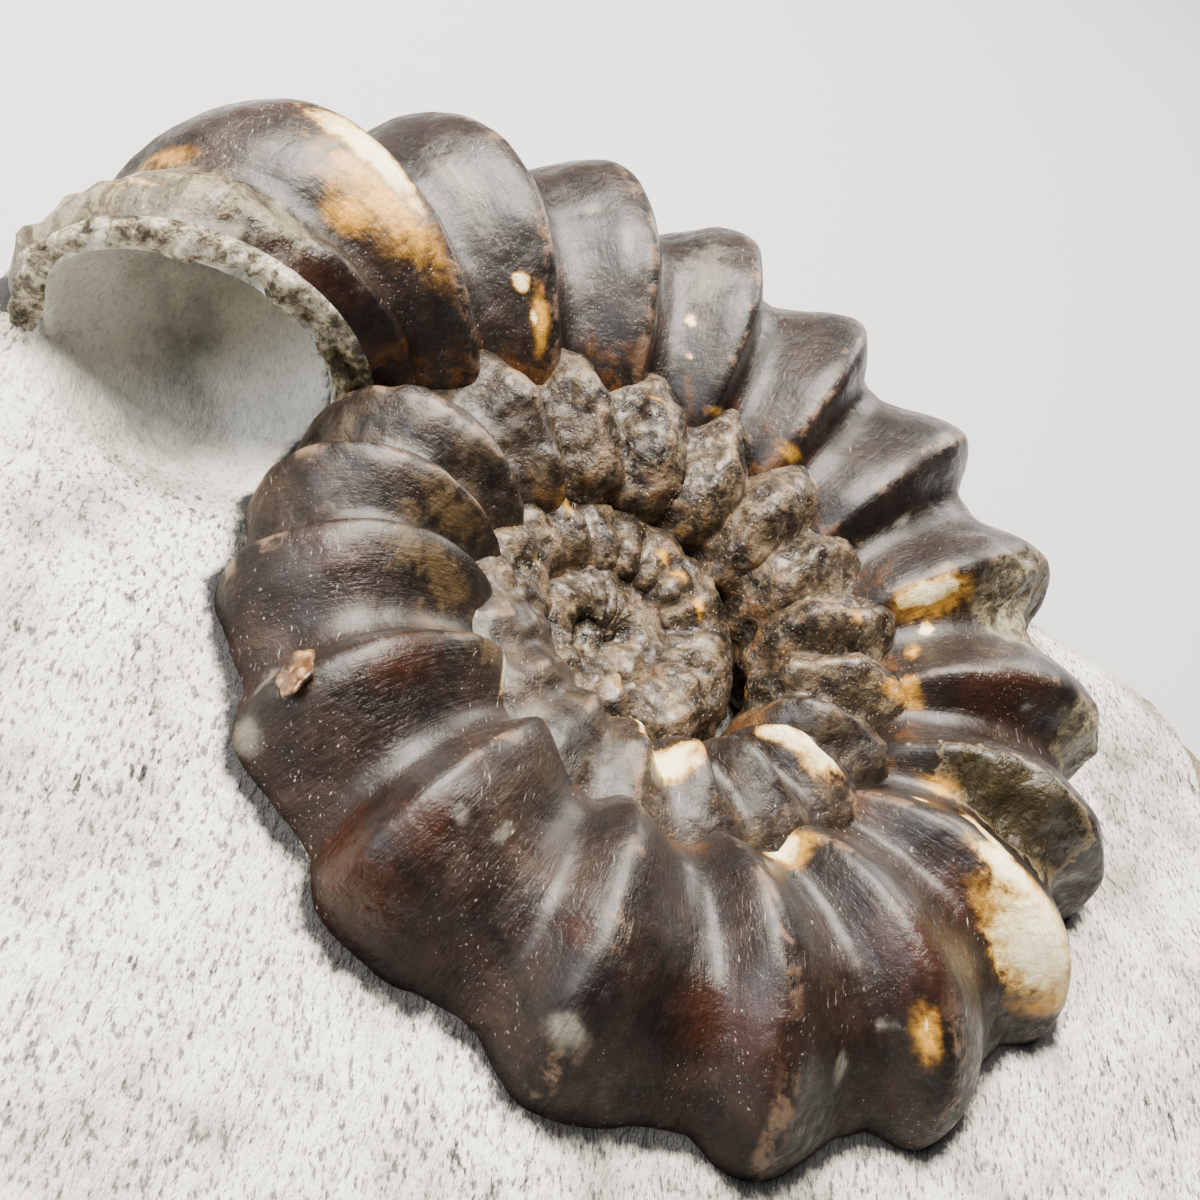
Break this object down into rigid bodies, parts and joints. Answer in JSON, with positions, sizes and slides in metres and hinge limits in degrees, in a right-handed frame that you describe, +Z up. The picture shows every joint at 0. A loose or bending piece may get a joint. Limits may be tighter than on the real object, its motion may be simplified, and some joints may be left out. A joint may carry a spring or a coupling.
{
  "type": "ammonite fossil",
  "caption": "Coiled, ribbed ammonite with a broken, hollow mouth, lying half out of its flat-based block of pale limestone: a hand specimen for display or study.",
  "frame": {"origin": "on the flat base, straight under the axis of the coil", "axes": "+Z up along the axis of the coil; the broken mouth of the shell faces -Y, on the -X side"},
  "size_m": [0.0641, 0.0603, 0.0221],
  "materials": {
    "calcite": "dark brown calcite shell, waxed to a soft gloss, with cream and amber patches",
    "limestone": "matt, fine-grained pale limestone, air-abraded round the shell"
  },
  "bodies": {
    "root": {"ammonite": "calcite", "limestone_matrix": "limestone"}
  },
  "joints": []
}
